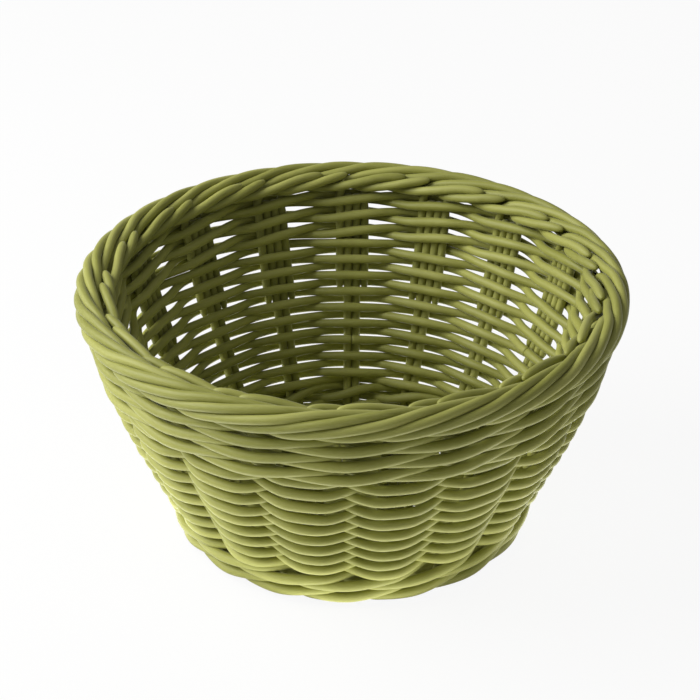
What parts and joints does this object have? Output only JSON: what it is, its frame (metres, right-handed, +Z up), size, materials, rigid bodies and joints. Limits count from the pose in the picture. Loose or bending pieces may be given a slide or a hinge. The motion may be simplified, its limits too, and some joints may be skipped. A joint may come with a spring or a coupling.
{
  "type": "woven basket",
  "caption": "Round open basket woven from plastic strands, with a flared wall, rope-like rounds, a rolled border and a flat base.",
  "frame": {"origin": "centre of the bounding box's bottom face, on the ground under the basket's axis", "axes": "+Z up along the basket's axis, +Y towards the back, -Y towards the side that the picture shows nearest"},
  "size_m": [0.2296, 0.2286, 0.1176],
  "materials": {
    "strand": "matte olive plastic strand, the same all through"
  },
  "bodies": {
    "root": {"stake_pair_1": "strand", "stake_pair_2": "strand", "stake_pair_3": "strand", "stake_pair_4": "strand", "stake_pair_5": "strand", "stake_pair_6": "strand", "stake_pair_7": "strand", "stake_pair_8": "strand", "stake_pair_9": "strand", "base_weaver_1": "strand", "base_weaver_2": "strand", "bottom_wale_1": "strand", "bottom_wale_2": "strand", "wall_weaver_1": "strand", "wall_weaver_2": "strand", "wall_weaver_3": "strand", "wall_weaver_4": "strand", "wall_weaver_5": "strand", "wall_weaver_6": "strand", "wall_weaver_7": "strand", "top_wale_1": "strand", "top_wale_2": "strand", "top_wale_3": "strand", "border_rod_01": "strand", "border_rod_02": "strand", "border_rod_03": "strand", "border_rod_04": "strand", "border_rod_05": "strand", "border_rod_06": "strand", "border_rod_07": "strand", "border_rod_08": "strand", "border_rod_09": "strand", "border_rod_10": "strand", "border_rod_11": "strand", "border_rod_12": "strand", "border_rod_13": "strand", "border_rod_14": "strand", "border_rod_15": "strand", "border_rod_16": "strand", "border_rod_17": "strand", "border_rod_18": "strand", "border_rod_19": "strand", "border_rod_20": "strand", "border_rod_21": "strand", "border_rod_22": "strand", "border_rod_23": "strand", "border_rod_24": "strand", "border_rod_25": "strand", "border_rod_26": "strand", "border_rod_27": "strand", "border_rod_28": "strand", "border_rod_29": "strand", "border_rod_30": "strand", "border_rod_31": "strand", "border_rod_32": "strand", "border_rod_33": "strand", "border_rod_34": "strand"}
  },
  "joints": []
}
